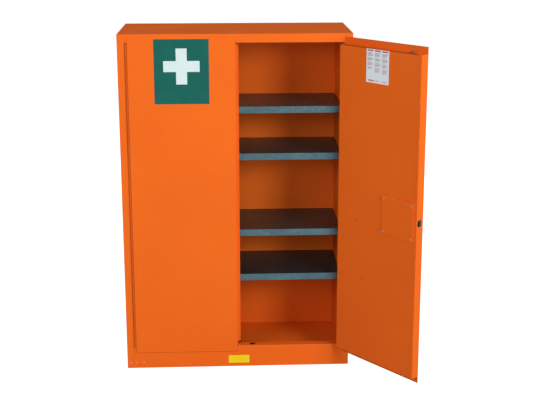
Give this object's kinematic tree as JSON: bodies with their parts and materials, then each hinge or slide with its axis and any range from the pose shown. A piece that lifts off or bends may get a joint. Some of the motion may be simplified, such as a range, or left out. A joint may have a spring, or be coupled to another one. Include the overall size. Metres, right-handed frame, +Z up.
{
  "type": "two-door safety storage cabinet",
  "caption": "Double-wall steel floor cabinet with two hinged doors, a recessed paddle latch that throws bolts, lift-out shelves and a leak sump.",
  "frame": {"origin": "floor level at the middle of the cabinet body's footprint, on the underside of its bottom panel", "axes": "+X to the cabinet's right as seen from the front, -Y out of the front, +Z up"},
  "size_m": [1.3697, 0.876, 1.651],
  "materials": {
    "orange_paint": "semi-gloss powder coat",
    "galvanised_steel": "galvanised, satin",
    "zinc_steel": "zinc plated",
    "black_nylon": "matte black",
    "black_handle": "black satin coat",
    "chrome_lock": "polished",
    "green_sign": "printed vinyl",
    "yellow_label": "printed vinyl",
    "white_label": "printed vinyl"
  },
  "bodies": {
    "cabinet": {"outer_left_side": "orange_paint", "outer_right_side": "orange_paint", "outer_back": "orange_paint", "outer_top": "orange_paint", "base_front": "orange_paint", "bottom_panel": "orange_paint", "sump_pan": "orange_paint", "inner_left_side": "orange_paint", "inner_right_side": "orange_paint", "inner_back": "orange_paint", "inner_top": "orange_paint", "wall_channels": "zinc_steel", "foot_brackets": "zinc_steel", "shelf_hangers": "galvanised_steel", "sill_strike": "black_nylon", "head_strike": "black_nylon", "stop_button": "zinc_steel", "base_label": "yellow_label", "left_hinge_frame_leaf": "orange_paint", "right_hinge_frame_leaf": "orange_paint", "left_hinge_pin": "zinc_steel", "right_hinge_pin": "zinc_steel"},
    "left_door": {"left_hinge_door_leaf": "orange_paint", "left_door_skin": "orange_paint", "left_door_pan": "orange_paint", "left_door_stiffener": "zinc_steel", "astragal": "orange_paint", "astragal_bumper": "black_nylon", "latch_keeper": "zinc_steel", "door_sign": "green_sign"},
    "right_door": {"right_hinge_door_leaf": "orange_paint", "right_door_skin": "orange_paint", "right_door_pan": "orange_paint", "right_door_stiffener": "zinc_steel", "handle_dish": "black_handle", "latch_plate": "zinc_steel", "rod_guides": "zinc_steel", "lock_body": "chrome_lock", "access_cover": "orange_paint", "cover_screws": "zinc_steel", "inner_label": "white_label"},
    "paddle": {"paddle": "black_handle", "handle_shaft": "zinc_steel", "handle_lever": "zinc_steel"},
    "latch_cam": {"latch_cam": "zinc_steel"},
    "top_bolt": {"top_bolt": "zinc_steel", "top_bolt_collar": "zinc_steel"},
    "bottom_bolt": {"bottom_bolt": "zinc_steel", "bottom_bolt_collar": "zinc_steel"},
    "middle_latch": {"middle_latch": "black_nylon"},
    "lock_plug": {"lock_plug": "chrome_lock"},
    "levelling_foot_front_left": {"levelling_foot_front_left": "zinc_steel"},
    "levelling_foot_front_right": {"levelling_foot_front_right": "zinc_steel"},
    "levelling_foot_rear_left": {"levelling_foot_rear_left": "zinc_steel"},
    "levelling_foot_rear_right": {"levelling_foot_rear_right": "zinc_steel"},
    "shelf_1": {"shelf_1": "galvanised_steel"},
    "shelf_2": {"shelf_2": "galvanised_steel"},
    "shelf_3": {"shelf_3": "galvanised_steel"},
    "shelf_4": {"shelf_4": "galvanised_steel"}
  },
  "joints": [
    {"name": "left_door_hinge", "type": "hinge", "parent": "cabinet", "child": "left_door", "pos_m": [-0.5055, -0.2311, 0.8], "axis": [0, 0, -1], "range_deg": [0, 180]},
    {"name": "right_door_hinge", "type": "hinge", "parent": "cabinet", "child": "right_door", "pos_m": [0.5055, -0.2311, 0.8], "axis": [0, 0, 1], "range_deg": [-129.1, 50.9]},
    {"name": "handle_pull", "type": "hinge", "parent": "right_door", "child": "paddle", "pos_m": [0.73989, -0.53157, 0.9125], "axis": [0.6307, -0.776, 0], "range_deg": [0, 30], "stiffness_Nm_per_rad": 0.6, "springref_deg": -20.05},
    {"name": "latch_cam_turn", "type": "hinge", "parent": "right_door", "child": "latch_cam", "pos_m": [0.76052, -0.58438, 0.853], "axis": [0.776, 0.6307, 0], "range_deg": [0, 25.1]},
    {"name": "top_bolt_slide", "type": "slide", "parent": "right_door", "child": "top_bolt", "axis": [0, 0, -1], "range_m": [0, 0.00965]},
    {"name": "bottom_bolt_slide", "type": "slide", "parent": "right_door", "child": "bottom_bolt", "axis": [0, 0, 1], "range_m": [0, 0.00965]},
    {"name": "middle_latch_slide", "type": "slide", "parent": "right_door", "child": "middle_latch", "axis": [-0.6307, 0.776, 0], "range_m": [0, 0.00965]},
    {"name": "lock_turn", "type": "hinge", "parent": "right_door", "child": "lock_plug", "pos_m": [0.7461, -0.52652, 0.738], "axis": [-0.776, -0.6307, 0], "range_deg": [-90, 0]},
    {"name": "levelling_foot_front_left_screw", "type": "slide", "parent": "cabinet", "child": "levelling_foot_front_left", "axis": [0, 0, -1], "range_m": [0, 0.02]},
    {"name": "levelling_foot_front_right_screw", "type": "slide", "parent": "cabinet", "child": "levelling_foot_front_right", "axis": [0, 0, -1], "range_m": [0, 0.02]},
    {"name": "levelling_foot_rear_left_screw", "type": "slide", "parent": "cabinet", "child": "levelling_foot_rear_left", "axis": [0, 0, -1], "range_m": [0, 0.02]},
    {"name": "levelling_foot_rear_right_screw", "type": "slide", "parent": "cabinet", "child": "levelling_foot_rear_right", "axis": [0, 0, -1], "range_m": [0, 0.02]},
    {"name": "shelf_1_lift", "type": "slide", "parent": "cabinet", "child": "shelf_1", "axis": [0, 0, 1], "range_m": [0, 0.03]},
    {"name": "shelf_2_lift", "type": "slide", "parent": "cabinet", "child": "shelf_2", "axis": [0, 0, 1], "range_m": [0, 0.03]},
    {"name": "shelf_3_lift", "type": "slide", "parent": "cabinet", "child": "shelf_3", "axis": [0, 0, 1], "range_m": [0, 0.03]},
    {"name": "shelf_4_lift", "type": "slide", "parent": "cabinet", "child": "shelf_4", "axis": [0, 0, 1], "range_m": [0, 0.03]}
  ],
  "couplings": [
    {"joint": "latch_cam_turn", "follows": "handle_pull", "ratio": 0.83333},
    {"joint": "top_bolt_slide", "follows": "handle_pull", "m_per_rad": 0.018333},
    {"joint": "bottom_bolt_slide", "follows": "handle_pull", "m_per_rad": 0.018333},
    {"joint": "middle_latch_slide", "follows": "handle_pull", "m_per_rad": 0.018333}
  ]
}
